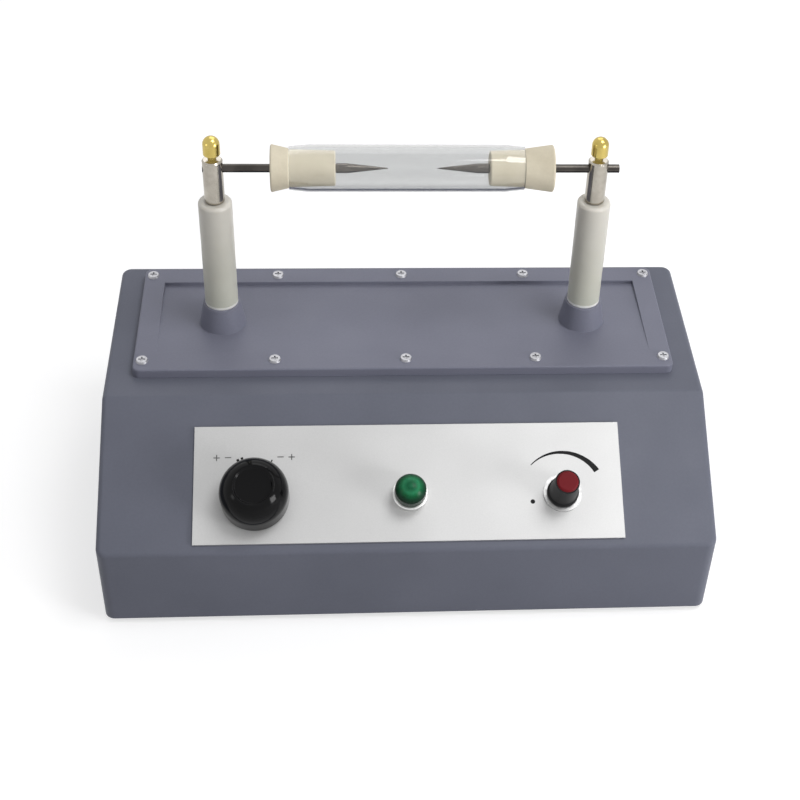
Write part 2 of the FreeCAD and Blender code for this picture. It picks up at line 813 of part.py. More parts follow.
def make_polarity_switch():
    x = -size["controlSpacing"]
    line = size["controlLine"]
    plate = size["plateThick"]
    shaft_depth = size["shellWall"] + size["switchLength"] / 2
    body = control_body("SwitchBody", size["switchRadius"], size["switchLength"], size["switchBush"],
                        size["bushReach"], shaft_depth)
    node("polarity_switch", slope_place(body, x, line, 0))

    blank = prism("SwitchNutBlank", size["switchNutRadius"], size["switchNutThick"])
    bore = cylinder("SwitchNutBore", size["switchBush"] + size["runningGap"], size["switchNutThick"])
    node("polarity_switch_nut", slope_place(cut("SwitchNut", blank, [bore]), x, line, plate))

    base = plate + size["knobLift"]
    shaft_top = base + size["knobShaftDepth"] - size["fitGap"]
    shaft = turned("SwitchShaft", [
        (0, size["fitGap"] - shaft_depth),
        (size["shaftRadius"], size["fitGap"] - shaft_depth),
        (size["shaftRadius"], shaft_top),
        (0, shaft_top),
    ])
    node("polarity_shaft", slope_place(shaft, x, line, 0))

    bore = size["shaftRadius"] + size["runningGap"]
    knob = turned("SwitchKnob", [
        (size["knobHollow"], 0),
        (size["knobRadius"], 0),
        (size["knobRadius"], size["knobRim"]),
        (size["knobTopRadius"], size["knobHeight"]),
        (size["knobTopRadius"] - size["knobTopDish"], size["knobHeight"]),
        (size["knobTopRadius"] - size["knobTopDish"] * 2, size["knobHeight"] - size["knobTopDish"]),
        (0, size["knobHeight"] - size["knobTopDish"]),
        (0, size["knobShaftDepth"]),
        (bore, size["knobShaftDepth"]),
        (bore, size["knobHollowDepth"]),
        (size["knobHollow"], size["knobHollowDepth"]),
    ], {2: size["knobFlank"]})
    # The nib on the rim shows which of the two positions is set: at rest the left one
    nib_root = size["knobRadius"] - size["knobNibWidth"]
    nib_length = size["knobNibWidth"] + size["knobNibReach"]
    nib = block("KnobNibBlock", size["knobNibWidth"], nib_length, size["knobNibHeight"],
                y=nib_root + nib_length / 2)
    nib = place(group("KnobNib", [nib]), axis=UP, angle=size["switchTurn"] / 2)
    # The set screw goes in from the upper side, where the knob hides it from the front
    reach = size["setScrewLength"]
    hole = cylinder("SetScrewHole", size["setScrewRadius"] + size["runningGap"], size["knobRadius"] * 2,
                    z=size["setScrewHeight"], axis=ALONG_X, angle=-QUARTER)
    knob = cut("SwitchKnobDrilled", fuse("SwitchKnobWithNib", [knob, nib]), [hole])
    node("polarity_knob", slope_place(knob, x, line, base))

    screw = cylinder("SetScrewBody", size["setScrewRadius"], reach, y=bore, z=size["setScrewHeight"],
                     axis=ALONG_X, angle=-QUARTER)
    socket = cylinder("SetScrewSocket", size["setScrewSocket"], reach / 2, y=bore + reach / 2,
                      z=size["setScrewHeight"], axis=ALONG_X, angle=-QUARTER)
    screw = cut("SetScrew", screw, [socket])
    node("polarity_set_screw", slope_place(screw, x, line, base))


def make_adjuster():
    x = size["controlSpacing"]
    line = size["controlLine"]
    plate = size["plateThick"]
    shaft_depth = size["shellWall"] + size["adjusterLength"] / 2
    nut_top = size["washerThick"] + size["adjusterNutThick"]
    body = control_body("AdjusterBody", size["adjusterRadius"], size["adjusterLength"], size["adjusterBush"],
                        nut_top, shaft_depth)
    node("adjuster", slope_place(body, x, line, 0))

    washer = cylinder("AdjusterWasher", size["washerRadius"], size["washerThick"])
    nut = prism("AdjusterHexagon", size["adjusterNutRadius"], size["adjusterNutThick"], z=size["washerThick"])
    bore = cylinder("AdjusterNutBore", size["adjusterBush"] + size["runningGap"], nut_top)
    nut = cut("AdjusterNut", fuse("AdjusterNutBlank", [washer, nut]), [bore])
    node("adjuster_nut", slope_place(nut, x, line, plate))

    base = plate + size["washerThick"] + size["smallLift"]
    shaft_top = base + size["smallShaftDepth"] - size["fitGap"]
    shaft = turned("AdjusterShaft", [
        (0, size["fitGap"] - shaft_depth),
        (size["shaftRadius"], size["fitGap"] - shaft_depth),
        (size["shaftRadius"], shaft_top),
        (0, shaft_top),
    ])
    node("adjuster_shaft", slope_place(shaft, x, line, 0))

    bore = size["shaftRadius"] + size["runningGap"]
    seat = size["smallHeight"] - size["capDiscThick"] + size["capDiscProud"]
    disc = size["smallBodyTop"] - size["capInset"]
    knob = turned("AdjusterKnob", [
        (size["smallHollow"], 0),
        (size["smallSkirt"], 0),
        (size["smallSkirt"], size["smallSkirtEdge"]),
        (size["smallBodyLow"], size["smallSkirtRise"]),
        (size["smallBodyTop"], size["smallHeight"]),
        (disc, size["smallHeight"]),
        (disc, seat),
        (0, seat),
        (0, size["smallShaftDepth"]),
        (bore, size["smallShaftDepth"]),
        (bore, size["smallHollowDepth"]),
        (size["smallHollow"], size["smallHollowDepth"]),
    ])
    node("adjuster_knob", slope_place(knob, x, line, base))

    radius = disc - size["runningGap"]
    cap = turned("AdjusterCap", [
        (0, seat),
        (radius, seat),
        (radius, size["smallHeight"] + size["capDiscEdge"]),
        (radius - size["capDiscProud"], size["smallHeight"] + size["capDiscProud"]),
        (0, size["smallHeight"] + size["capDiscProud"]),
    ])
    node("adjuster_cap", slope_place(cap, x, line, base))


# Solder tags behind the switch and behind the adjuster
def make_solder_tags():
    tags = []
    rows = (
        (-size["controlSpacing"], size["switchTagRing"], size["switchLength"], driving["switchTags"]),
        (size["controlSpacing"], size["adjusterTagRing"], size["adjusterLength"], driving["adjusterTags"]),
    )
    for x, ring, depth, count in rows:
        for number in range(count):
            turn = as_size(360 / count * number)
            tag = block(f"Tag{len(tags)}", size["tagWidth"], size["tagThick"], size["tagLength"])
            up = size["controlLine"] + ring * cosine(turn)
            aside = x + ring * sine(turn)
            out = -size["shellWall"] - depth - size["tagLength"]
            holder = group(f"TagPlace{len(tags)}", [tag])
            tags.append(slope_place(holder, aside, up, out))
    node("solder_tags", group("SolderTags", tags))


def make_lamp():
    line = size["controlLine"]
    plate = size["plateThick"]
    seat = plate + size["bezelFloor"]
    inner = size["lensRadius"] + size["runningGap"]
    body = turned("LampBody", [
        (0, -size["lampBodyLength"]),
        (size["lampBodyRadius"], -size["lampBodyLength"]),
        (size["lampBodyRadius"], seat),
        (0, seat),
    ])
    node("lamp_body", slope_place(body, 0, line, 0))
    bore = size["lampBodyRadius"] + size["runningGap"]
    bezel = turned("LampBezel", [
        (bore, plate),
        (size["bezelCollar"], plate),
        (size["bezelCollar"], plate + size["bezelCollarRise"]),
        (size["bezelRing"], plate + size["bezelCollarRise"] + size["bezelRing"] - size["bezelCollar"]),
        (size["bezelRing"], plate + size["bezelRise"] - size["bezelEdge"]),
        (size["bezelRing"] - size["bezelEdge"], plate + size["bezelRise"]),
        (inner, plate + size["bezelRise"]),
        (inner, seat),
        (bore, seat),
    ])
    node("lamp_bezel", slope_place(bezel, 0, line, 0))
    # The sphere whose cap is as wide as the lens and as high as its dome
    squares = size["lensRadius"] * size["lensRadius"] + size["lensDome"] * size["lensDome"]
    dome_radius = squares / (size["lensDome"] * 2)
    lens = turned("LampLens", [
        (0, seat),
        (size["lensRadius"], seat),
        (size["lensRadius"], seat + size["lensSide"]),
        (0, seat + size["lensSide"] + size["lensDome"]),
    ], {2: dome_radius})
    node("lamp_lens", slope_place(lens, 0, line, 0))


def make_posts():
    nuts = []
    for side, sign in sides.items():
        x = size["postSpacing"] / 2 * sign
        bore = size["studRadius"] + size["fitGap"]
        tube = turned(side + "Insulator", [
            (bore, 0),
            (size["insulatorRadius"], 0),
            (size["insulatorRadius"], size["insulatorLength"] - size["insulatorRound"]),
            (size["insulatorRadius"] - size["insulatorRound"], size["insulatorLength"]),
            (bore, size["insulatorLength"]),
        ], {2: size["insulatorRound"]})
        node(side + "_insulator", place(tube, x, post_y, collar_top))

        stud_bore = size["studRadius"] + size["runningGap"]
        stem_bore = size["clampStemRadius"] + size["runningGap"]
        post = turned(side + "Post", [
            (stud_bore, 0),
            (size["postRadius"] - size["postFoot"], 0),
            (size["postRadius"], size["postFoot"]),
            (size["postRadius"], size["postHeight"] - size["postChamfer"]),
            (size["postRadius"] - size["postChamfer"], size["postHeight"]),
            (stem_bore, size["postHeight"]),
            (stem_bore, size["rodHeight"]),
            (0, size["rodHeight"]),
            (0, size["studInPost"] + size["fitGap"]),
            (stud_bore, size["studInPost"] + size["fitGap"]),
        ], {1: size["postFoot"]})
        rod_hole = cylinder(side + "RodHole", size["rodRadius"] + size["runningGap"], size["postRadius"] * 4,
                            x=-size["postRadius"] * 2, z=size["rodHeight"], axis=ALONG_Y, angle=QUARTER)
        post = cut(side + "PostDrilled", post, [rod_hole])
        node(side + "_post", place(post, x, post_y, insulator_top))

        stud_low = top_z - size["studBelowLid"]
        stud = cylinder(side + "Stud", size["studRadius"], insulator_top + size["studInPost"] - stud_low,
                        x, post_y, stud_low)
        node(side + "_stud", stud)
        blank = prism(side + "NutBlank", size["studNutRadius"], size["studNutThick"])
        hole = cylinder(side + "NutBore", stud_bore, size["studNutThick"])
        nut = cut(side + "Nut", blank, [hole])
        nuts.append(place(nut, x, post_y, top_z - size["studNutThick"]))

        stem_low = rod_z + size["rodRadius"] + size["fitGap"]
        cap_low = post_top + size["clampNeck"]
        stem = cylinder(side + "Stem", size["clampStemRadius"], cap_low + size["clampStemInCap"] - stem_low,
                        x, post_y, stem_low)
        node(side + "_clamp_screw", stem)
        cap = turned(side + "Cap", [
            (stem_bore, 0),
            (size["capRadius"] - size["capChamfer"], 0),
            (size["capRadius"], size["capChamfer"]),
            (size["capRadius"], size["capSide"]),
            (0, size["capSide"] + size["capRadius"]),
            (0, size["clampStemInCap"] + size["runningGap"]),
            (stem_bore, size["clampStemInCap"] + size["runningGap"]),
        ], {3: size["capRadius"]})
        node(side + "_clamp_cap", place(cap, x, post_y, cap_low))
    node("stud_nuts", group("StudNuts", nuts))


def make_discharge_tube():
    inner = size["tubeRadius"] - size["tubeWall"]
    mouth_inner = size["mouthRadius"] - size["tubeWall"]
    taper = size["mouthTaper"]
    length = size["tubeLength"]
    tube = turned("GlassTube", [
        (mouth_inner, 0),
        (size["mouthRadius"], 0),
        (size["tubeRadius"], taper),
        (size["tubeRadius"], length - taper),
        (size["mouthRadius"], length),
        (mouth_inner, length),
        (inner, length - taper),
        (inner, taper),
    ])
    node("glass_tube", place(tube, -length / 2, post_y, rod_z, ALONG_Y, QUARTER))

    bore = size["rodRadius"] + size["runningGap"]
    ring = mouth_inner - size["runningGap"]
    outs = {"left": size["leftStopperOut"], "right": size["rightStopperOut"]}
    for side, sign in sides.items():
        out = outs[side]
        stopper = turned(side + "Stopper", [
            (bore, 0),
            (size["stopperOutRadius"] - size["stopperRound"], 0),
            (size["stopperOutRadius"], size["stopperRound"]),
            (size["stopperWaist"], out - size["runningGap"]),
            (ring, out - size["runningGap"]),
            (ring, out + size["stopperGrip"]),
            (size["stopperInRadius"], size["stopperLength"] - size["stopperRound"]),
            (size["stopperInRadius"] - size["stopperRound"], size["stopperLength"]),
            (bore, size["stopperLength"]),
        ], {1: size["stopperRound"], 6: size["stopperRound"]})
        # Each stopper starts at its outer face and points to the middle of the tube
        outer_x = (length / 2 + out) * sign
        node(side + "_stopper", place(stopper, outer_x, post_y, rod_z, ALONG_Y, -QUARTER * sign))

        tip_base = outer_x - (size["stopperLength"] + size["tipSeat"]) * sign
        spigot = size["tipSpigot"] - size["runningGap"]
        rod = turned(side + "Rod", [
            (0, 0),
            (size["rodRadius"], 0),
            (size["rodRadius"], size["rodLength"]),
            (spigot, size["rodLength"]),
            (spigot, size["rodLength"] + size["tipSpigotLength"] - size["runningGap"]),
            (0, size["rodLength"] + size["tipSpigotLength"] - size["runningGap"]),
        ])
        rod_end = tip_base + size["rodLength"] * sign
        node(side + "_rod", place(rod, rod_end, post_y, rod_z, ALONG_Y, -QUARTER * sign))
        tip = turned(side + "Tip", [
            (size["tipSpigot"], 0),
            (size["tipRadius"], 0),
            (size["tipRadius"], size["tipShank"]),
            (size["tipPoint"], size["tipShank"] + size["tipCone"]),
            (0, size["tipShank"] + size["tipCone"]),
            (0, size["tipSpigotLength"]),
            (size["tipSpigot"], size["tipSpigotLength"]),
        ])
        node(side + "_tip", place(tip, tip_base, post_y, rod_z, ALONG_Y, -QUARTER * sign))


# Transformer: an open iron core along X, the primary on it, and the sectioned secondary outside
def make_transformer():
    def rod_along_x(name, radius, length, start):
        return cylinder(name, radius, length, start, post_y, coil_z, ALONG_Y, QUARTER)

    def ring_along_x(name, radius, bore, length, start):
        return cut(name, rod_along_x(name + "Solid", radius, length, start),
                   [rod_along_x(name + "Bore", bore, length, start)])

    gap = size["runningGap"]
    node("iron_core", rod_along_x("Core", size["coreRadius"], size["coreLength"], -size["coreLength"] / 2))
    node("primary_winding", ring_along_x("Primary", size["primaryRadius"], size["coreRadius"] + gap,
                                         size["primaryLength"], -size["primaryLength"] / 2))
    tube_radius = size["primaryRadius"] + gap + size["formerWall"]
    coil_start = -size["coilLength"] / 2
    flanges = [rod_along_x("FormerTube", tube_radius, size["coilLength"], coil_start)]
    pitch = (size["coilLength"] - size["formerFlangeThick"]) / size["sectionCount"]
    width = pitch - size["formerFlangeThick"] - gap * 2
    for number in range(driving["sectionCount"] + 1):
        flanges.append(rod_along_x(f"Flange{number}", size["formerFlange"], size["formerFlangeThick"],
                                   coil_start + pitch * number))
    hollow = rod_along_x("FormerHollow", size["primaryRadius"] + gap, size["coilLength"], coil_start)
    node("coil_former", cut("Former", fuse("FormerSolid", flanges), [hollow]))
    sections = []
    for number in range(driving["sectionCount"]):
        start = coil_start + pitch * number + size["formerFlangeThick"] + gap
        sections.append(ring_along_x(f"Section{number}", size["sectionRadius"], tube_radius + gap,
                                     width, start))
    node("secondary_winding", group("Secondary", sections))

    cheeks = []
    screws = []
    for side, sign in sides.items():
        inner_x = (size["coilLength"] / 2 + gap) * sign
        middle_x = inner_x + size["cheekThick"] / 2 * sign
        plate = block(side + "CheekPlate", size["cheekThick"], size["cheekWidth"],
                      size["coilHeight"] + size["cheekTop"], middle_x, post_y, base_top)
        hole = cylinder(side + "CheekBore", size["coreRadius"] + gap, size["cheekThick"] * 2,
                        middle_x - size["cheekThick"], post_y, coil_z, ALONG_Y, QUARTER)
        pilots = []
        for end in (-1, 1):
            y = post_y + size["cheekScrewSpan"] / 2 * end
            pilots.append(cylinder(f"{side}CheekPilot{end + 1}", screw_hole,
                                   size["baseScrewLength"] - size["baseThick"] + size["fitGap"],
                                   middle_x, y, base_top))
        cheeks.append(cut(side + "Cheek", plate, [hole] + pilots))
    for number, (x, y) in enumerate(cheek_screw_places):
        screw = cross_screw(f"CheekScrew{number}", size["baseScrewLength"], countersunk=True)
        screws.append(place(screw, x, y, case_low, ALONG_X, 2 * QUARTER))
    node("coil_cheeks", group("CoilCheeks", cheeks))
    node("cheek_screws", group("CheekScrews", screws))

    # Each lead rises from the end section of the secondary and bends out to its post's stud
    bend = size["leadBend"]
    for side, sign in sides.items():
        foot_x = (size["coilLength"] / 2 - size["formerFlangeThick"] - pitch / 2) * sign
        foot_z = coil_z + size["sectionRadius"] + gap
        turn_z = foot_z + size["leadRise"]
        stud_x = (size["postSpacing"] / 2 - size["studRadius"] - size["fitGap"]) * sign
        rise = cylinder(side + "LeadRise", size["leadRadius"], size["leadRise"] - bend,
                        foot_x, post_y, foot_z)
        run = cylinder(side + "LeadRun", size["leadRadius"], (stud_x - foot_x) * sign - bend,
                       foot_x + bend * sign, post_y, turn_z, ALONG_Y, QUARTER * sign)
        elbow = doc.addObject("Part::Torus", side + "LeadElbow")
        bind(elbow, "Radius1", bend)
        bind(elbow, "Radius2", size["leadRadius"])
        elbow.Angle3 = 90
        # A quarter ring turned upright, from straight up to straight out
        upright = FreeCAD.Rotation(ALONG_X, 90)
        half_turn = FreeCAD.Rotation(UP, 0 if sign < 0 else 180)
        elbow.Placement = FreeCAD.Placement(FreeCAD.Vector(), half_turn.multiply(upright))
        place(elbow, foot_x + bend * sign, post_y, turn_z - bend)
        node(side + "_lead", fuse(side + "Lead", [rise, elbow, run]))


def make_board():
    front = front_y + size["boardFront"]
    middle = front + size["boardDepth"] / 2
    under = board_top - size["boardThick"]
    blank = block("BoardBlank", size["boardWidth"], size["boardDepth"], size["boardThick"], 0, middle, under)
    holes = []
    screws = []
    for number, (x, y) in enumerate(board_places):
        holes.append(cylinder(f"BoardHole{number}", screw_hole, size["boardThick"], x, y, under))
        screw = cross_screw(f"BoardScrew{number}", size["pillarRise"] / 2 + size["boardThick"])
        screws.append(place(screw, x, y, board_top))
    node("driver_board", cut("Board", blank, holes))
    node("board_screws", group("BoardScrews", screws))

    cans = []
    for number in (-1, 1):
        x = size["capacitorSpacing"] * number
        cans.append(cylinder(f"Can{number + 1}", size["capacitorRadius"], size["capacitorHeight"], x,
                             front + size["capacitorRadius"] + size["pillarInset"], board_top))
    node("capacitors", group("Capacitors", cans))

    sink_y = front + size["boardDepth"] - size["sinkDepth"]
    web = block("SinkWeb", size["sinkWidth"], size["sinkWeb"], size["sinkHeight"], 0,
                sink_y + size["sinkWeb"] / 2, board_top)
    fins = [web]
    fin_pitch = (size["sinkWidth"] - size["finThick"]) / (size["finCount"] - 1)
    for number in range(driving["finCount"]):
        x = fin_pitch * number - (size["sinkWidth"] - size["finThick"]) / 2
        fins.append(block(f"Fin{number}", size["finThick"], size["sinkDepth"], size["sinkHeight"], x,
                          sink_y + size["sinkDepth"] / 2, board_top))
    node("heat_sink", fuse("HeatSink", fins))
    chips = []
    for number in (-1, 1):
        chips.append(block(f"Chip{number + 1}", size["transistorWidth"], size["transistorThick"],
                           size["transistorHeight"], size["transistorSpacing"] / 2 * number,
                           sink_y - size["transistorThick"] / 2, board_top))
    node("transistors", group("Transistors", chips))


def make_inlet():
    x = mains_x
    face_y = back_y + size["flangeThick"]
    body = block("InletBody", size["inletWidth"], size["inletDepth"], size["inletTall"], x,
                 back_y - size["inletDepth"] / 2, inlet_z - size["inletTall"] / 2)
    flange = block("InletFlange", size["flangeWidth"], size["flangeThick"], size["flangeTall"], x,
                   back_y + size["flangeThick"] / 2, inlet_z - size["flangeTall"] / 2)
    socket = block("InletSocket", size["socketWidth"], size["socketDepth"], size["socketTall"], x,
                   face_y - size["socketDepth"] / 2, inlet_z - size["socketTall"] / 2)
    removed = [socket]
    screws = []
    for number, screw_x in enumerate(inlet_screw_places):
        removed.append(cylinder(f"InletHole{number}", screw_hole, size["flangeThick"] * 2, screw_x,
                                back_y - size["flangeThick"] / 2, inlet_z, ALONG_X, -QUARTER))
        screw = cross_screw(f"InletScrew{number}", size["inletScrewLength"])
        screws.append(place(screw, screw_x, face_y, inlet_z, ALONG_X, -QUARTER))
    node("mains_inlet", cut("Inlet", fuse("InletSolid", [body, flange]), removed))
    node("inlet_screws", group("InletScrews", screws))

    floor_y = face_y - size["socketDepth"]
    blades = []
    for number in (-1, 0, 1):
        lift = size["bladeDrop"] if number == 0 else -size["bladeDrop"]
        blades.append(block(f"Blade{number + 1}", size["bladeWidth"], size["bladeLength"], size["bladeTall"],
                            x + size["bladeSpacing"] / 2 * number, floor_y + size["bladeLength"] / 2,
                            inlet_z + lift - size["bladeTall"] / 2))
    node("inlet_blades", group("InletBlades", blades))


# Everything of the fuse lies along Y: heights below run outwards from the back wall
def make_fuse():
    x = mains_x
    flange = size["holderFlangeThick"]
    bore = size["fuseNeckRadius"] + size["fitGap"]

    def at_back(thing):
        return place(thing, x, back_y, fuse_z, ALONG_X, -QUARTER)

    holder = turned("FuseHolder", [
        (0, -size["holderLength"]),
        (size["holderRadius"], -size["holderLength"]),
        (size["holderRadius"], 0),
        (size["holderFlange"], 0),
        (size["holderFlange"], flange),
        (bore, flange),
        (bore, size["holderFloor"] - size["holderLength"]),
        (0, size["holderFloor"] - size["holderLength"]),
    ])
    node("fuse_holder", at_back(holder))
    nut = turned("FuseHolderNut", [
        (size["holderRadius"] + size["runningGap"], -size["shellWall"] - size["holderNutThick"]),
        (size["holderNutRadius"], -size["shellWall"] - size["holderNutThick"]),
        (size["holderNutRadius"], -size["shellWall"]),
        (size["holderRadius"] + size["runningGap"], -size["shellWall"]),
    ])
    node("fuse_holder_nut", at_back(nut))
    neck_low = flange - size["fuseNeckLength"]
    link_bore = size["fuseRadius"] + size["runningGap"]
    cap = turned("FuseCap", [
        (link_bore, neck_low),
        (size["fuseNeckRadius"], neck_low),
        (size["fuseNeckRadius"], flange),
        (size["fuseCapRadius"], flange),
        (size["fuseCapTop"], fuse_reach - size["capChamfer"]),
        (size["fuseCapTop"] - size["capChamfer"], fuse_reach),
        (0, fuse_reach),
        (0, neck_low + size["fuseInCap"] + size["runningGap"]),
        (link_bore, neck_low + size["fuseInCap"] + size["runningGap"]),
    ])
    slot = block("FuseCapSlot", size["fuseSlotLength"], size["fuseSlotWidth"], size["crossDepth"] * 2,
                 z=fuse_reach - size["crossDepth"])
    node("fuse_cap", at_back(cut("FuseCapSlotted", cap, [slot])))
    link_low = neck_low + size["fuseInCap"] - size["fuseLength"]
    link = turned("FuseLink", [
        (0, link_low),
        (size["fuseRadius"], link_low),
        (size["fuseRadius"], link_low + size["fuseLength"]),
        (0, link_low + size["fuseLength"]),
    ])
    node("fuse", at_back(link))


make_housing()
make_lid()
make_lid_screws()
make_base()
make_feet()
make_plate()
make_polarity_switch()
make_adjuster()
make_solder_tags()
make_lamp()
make_posts()
make_discharge_tube()
make_transformer()
make_board()
make_inlet()
make_fuse()
doc.recompute()

# Nothing is written unless every feature and every sub-part came out sound
faults = [thing.Name for thing in doc.Objects if "Invalid" in thing.State or "Error" in thing.State]
for thing in nodes:
    if thing.Shape.isNull() or not thing.Shape.isValid() or not thing.Shape.Solids:
        faults.append(thing.Label)
if faults:
    raise SystemExit("Unsound: " + ", ".join(faults))

os.makedirs("parts", exist_ok=True)
for thing in nodes:
    thing.Shape.exportStep(f"parts/{thing.Label}.step")
    print(thing.Label, len(thing.Shape.Solids), round(thing.Shape.Volume, 1))
print(len(nodes), "sub-parts")
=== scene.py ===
import json
import math

import bmesh
import bpy
from mathutils import Matrix, Vector


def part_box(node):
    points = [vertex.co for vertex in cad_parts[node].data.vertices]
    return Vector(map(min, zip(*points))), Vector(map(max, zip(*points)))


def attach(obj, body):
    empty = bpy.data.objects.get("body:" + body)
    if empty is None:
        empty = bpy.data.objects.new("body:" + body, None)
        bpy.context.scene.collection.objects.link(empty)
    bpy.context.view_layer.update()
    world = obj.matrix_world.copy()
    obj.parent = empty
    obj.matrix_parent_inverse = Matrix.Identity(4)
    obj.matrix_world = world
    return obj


# School induction coil: the CAD pieces keep their places and get their finishes here, and the panel's
# printed marks and the knob's painted line are added. In metres, X to the right, Y to the back, Z up.

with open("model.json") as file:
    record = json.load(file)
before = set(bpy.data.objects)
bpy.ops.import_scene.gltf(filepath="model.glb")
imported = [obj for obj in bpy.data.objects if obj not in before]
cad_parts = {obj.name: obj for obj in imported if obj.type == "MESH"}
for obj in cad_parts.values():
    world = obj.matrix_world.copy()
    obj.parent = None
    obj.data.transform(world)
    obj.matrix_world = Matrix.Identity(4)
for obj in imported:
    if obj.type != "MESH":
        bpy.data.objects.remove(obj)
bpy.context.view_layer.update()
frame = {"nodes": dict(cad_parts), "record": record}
nodes = frame["nodes"]
print("frame loaded:", len(nodes), "nodes")

# Camera

camera = {
    "target": (0.030376, -0.0175, 0.088731),
    "distance": 0.766256,
    "yaw": 6.0995,  # degrees to the left of straight in front
    "elevation": 40.3221,
    "roll": 3.4005,
    "lens": 71.444,
    "sensor": 36,
    "shift": (-0.08745, -0.02547),
    "nearest": 0.01,
}


def addCamera():
    yaw = math.radians(camera["yaw"])
    elevation = math.radians(camera["elevation"])
    roll = math.radians(camera["roll"])
    back = Vector((-math.sin(yaw) * math.cos(elevation), -math.cos(yaw) * math.cos(elevation),
                   math.sin(elevation)))
    level = (-back).cross(Vector((0, 0, 1))).normalized()
    upright = level.cross(-back)
    across = math.cos(roll) * level + math.sin(roll) * upright
    upward = math.cos(roll) * upright - math.sin(roll) * level
    turn = Matrix((across, upward, back)).transposed().to_4x4()
    bpy.ops.object.camera_add()
    viewer = bpy.context.object
    viewer.name = "photoCamera"
    viewer.matrix_world = Matrix.Translation(Vector(camera["target"]) + back * camera["distance"]) @ turn
    viewer.data.lens = camera["lens"]
    viewer.data.sensor_width = camera["sensor"]
    viewer.data.shift_x, viewer.data.shift_y = camera["shift"]
    viewer.data.clip_start = camera["nearest"]
    bpy.context.scene.camera = viewer


addCamera()
print("camera placed")

# Small helpers for the nodes of materials and of the surround


def newNode(tree, kind, **values):
    made = tree.nodes.new(kind)
    for name, value in values.items():
        setattr(made, name, value)
    return made


# Sets a socket to a number or colour, or links it when the value is another node's output
def plug(tree, value, socket):
    if isinstance(value, bpy.types.NodeSocket):
        tree.links.new(value, socket)
    elif isinstance(value, tuple):
        socket.default_value = (*value, 1)
    else:
        socket.default_value = value


def grey(value):
    return (value, value, value)


def plainMath(tree, operation, first, second):
    sums = newNode(tree, "ShaderNodeMath", operation=operation)
    plug(tree, first, sums.inputs[0])
    plug(tree, second, sums.inputs[1])
    return sums.outputs["Value"]


def spread(tree, value, low, high, atLow=0.0, atHigh=1.0):
    mapRange = newNode(tree, "ShaderNodeMapRange")
    for name, number in zip(("From Min", "From Max", "To Min", "To Max"), (low, high, atLow, atHigh)):
        mapRange.inputs[name].default_value = number
    tree.links.new(value, mapRange.inputs["Value"])
    return mapRange.outputs["Result"]


def mixed(tree, share, first, second, mode="MIX"):
    mix = newNode(tree, "ShaderNodeMix", data_type="RGBA", blend_type=mode)
    plug(tree, share, mix.inputs[0])
    plug(tree, first, mix.inputs[6])
    plug(tree, second, mix.inputs[7])
    return mix.outputs[2]


def newFinish(name):
    material = bpy.data.materials.new(name)
    material.use_nodes = True
    return material, material.node_tree, material.node_tree.nodes["Principled BSDF"]


# Studio: a pale floor, a white surround and soft lamps

studio = {
    "floorSize": 2.6,
    "floorColour": (0.55, 0.55, 0.555),
    "floorRough": 0.9,
    "floorGlow": 0.60,
    "lightOfSurround": 0.36,  # what reaches matt surfaces; seen directly or in a mirror it is white
    "whiteSurround": 1.0,
    "lampsAim": (0, 0, 0.08),
    "lamps": {
        "overhead": {"place": (0.45, -0.20, 1.25), "size": 0.55, "power": 6.2},
        "behind": {"place": (0.10, 0.80, 1.10), "size": 0.9, "power": 3.4},
        "rightWindow": {"place": (0.64, -0.48, 0.21), "size": 0.26, "power": 2.9},
        "leftWindow": {"place": (-0.80, -0.40, 0.30), "size": 0.16, "power": 0.30},
    },
}


def addLamp(name, settings):
    bpy.ops.object.light_add(type="AREA", location=settings["place"])
    lamp = bpy.context.object
    lamp.name = name
    lamp.data.shape = "SQUARE"
    lamp.data.size = settings["size"]
    lamp.data.energy = settings["power"]
    aim = Vector(studio["lampsAim"]) - lamp.location
    lamp.rotation_euler = aim.to_track_quat("-Z", "Y").to_euler()


# One for the rays that show the background, which are the camera's and those mirrored or passed through
def seenDirectly(tree):
    path = newNode(tree, "ShaderNodeLightPath")
    through = plainMath(tree, "MAXIMUM", path.outputs["Is Camera Ray"], path.outputs["Is Transmission Ray"])
    return plainMath(tree, "MAXIMUM", through, path.outputs["Is Glossy Ray"])


def addSurround():
    world = bpy.data.worlds.new("surround")
    bpy.context.scene.world = world
    world.use_nodes = True
    tree = world.node_tree
    tree.nodes.clear()
    output = newNode(tree, "ShaderNodeOutputWorld")
    light = newNode(tree, "ShaderNodeBackground")
    plug(tree, grey(1), light.inputs["Color"])
    strength = spread(tree, seenDirectly(tree), 0, 1, studio["lightOfSurround"], studio["whiteSurround"])
    tree.links.new(strength, light.inputs["Strength"])
    tree.links.new(light.outputs["Background"], output.inputs["Surface"])


# The floor is plain and pale, and glows a little wherever the background is seen, so that it reads
# as white while it still takes the object's shadow
def addFloor():
    bpy.ops.mesh.primitive_plane_add(size=studio["floorSize"])
    floor = bpy.context.object
    floor.name = "floor"
    material, tree, shader = newFinish("paleFloor")
    plug(tree, studio["floorColour"], shader.inputs["Base Color"])
    plug(tree, studio["floorRough"], shader.inputs["Roughness"])
    plug(tree, grey(1), shader.inputs["Emission Color"])
    glow = plainMath(tree, "MULTIPLY", seenDirectly(tree), studio["floorGlow"])
    tree.links.new(glow, shader.inputs["Emission Strength"])
    floor.data.materials.append(material)


addSurround()
addFloor()
for lampName, lampSettings in studio["lamps"].items():
    addLamp(lampName, lampSettings)
bpy.context.scene.view_settings.view_transform = "Standard"
print("studio lit")

# Finishes: each is a dictionary of what a user would change, built by the few functions below


